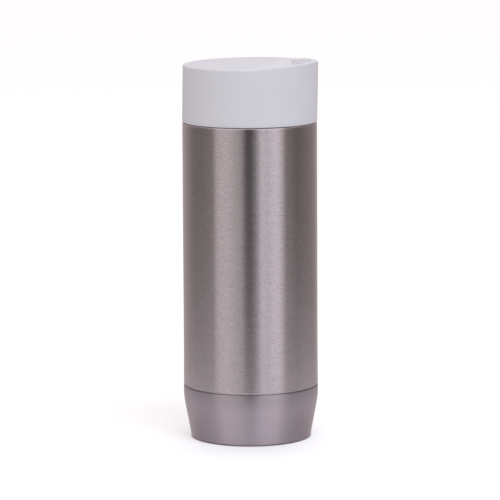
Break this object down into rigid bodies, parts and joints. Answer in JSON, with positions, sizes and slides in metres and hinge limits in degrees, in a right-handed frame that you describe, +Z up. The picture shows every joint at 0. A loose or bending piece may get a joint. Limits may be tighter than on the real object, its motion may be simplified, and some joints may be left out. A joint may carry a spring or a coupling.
{
  "type": "insulated travel mug",
  "caption": "Slim double-wall vacuum travel mug: brushed steel sleeve, tapered base cup, and a tall screw-on lid whose cap twists to open a kidney-shaped drinking slot.",
  "frame": {"origin": "centre of the foot pad's underside, on the mug's axis", "axes": "+Z up along the mug's axis, +X towards the drinking slot"},
  "size_m": [0.0714, 0.071, 0.1988],
  "materials": {
    "brushed_steel": "fine brushing round the sleeve, clear of lettering",
    "satin_steel": "satin, smoother and greyer than the sleeve",
    "inner_steel": "electropolished",
    "white_plastic": "matte moulded",
    "natural_plastic": "satin natural polypropylene",
    "grey_plastic": "matte moulded",
    "foam": "closed-cell foam",
    "silicone": "matte translucent",
    "foot_rubber": "matte",
    "foil": "bright crinkled foil",
    "getter_metal": "sintered",
    "glass_frit": "fused",
    "screw_steel": "bright stainless"
  },
  "bodies": {
    "flask": {"outer_shell": "brushed_steel", "inner_liner": "inner_steel", "liner_base": "inner_steel", "vacuum_base_plate": "inner_steel", "seal_bead": "glass_frit", "getter_clip": "inner_steel", "getter_pellet": "getter_metal", "radiation_foil": "foil", "base_cup": "satin_steel", "base_spacer": "foam", "foot_pad": "foot_rubber"},
    "lid_lift": {"lid_gasket": "silicone"},
    "lid_rise": {"cap_o_ring": "silicone"},
    "collar": {"lid_collar": "grey_plastic", "port_seal": "silicone", "screw_plug": "silicone"},
    "cap": {"lid_cap": "white_plastic", "valve_disc": "natural_plastic", "pivot_screw": "screw_steel", "spring_washer": "screw_steel"}
  },
  "joints": [
    {"name": "lid_lift_off", "type": "slide", "parent": "flask", "child": "lid_lift", "axis": [0, 0, 1], "range_m": [0, 0.05]},
    {"name": "lid_thread_rise", "type": "slide", "parent": "lid_lift", "child": "lid_rise", "axis": [0, 0, 1], "range_m": [0, 0.0076]},
    {"name": "lid_unscrew", "type": "hinge", "parent": "lid_rise", "child": "collar", "pos_m": [0, 0, 0.175], "axis": [0, 0, 1], "range_deg": [0, 270]},
    {"name": "cap_twist", "type": "hinge", "parent": "collar", "child": "cap", "pos_m": [0, 0, 0.187], "axis": [0, 0, 1], "range_deg": [0, 90]}
  ],
  "couplings": [
    {"joint": "lid_thread_rise", "follows": "lid_unscrew", "m_per_rad": 0.0015915}
  ]
}
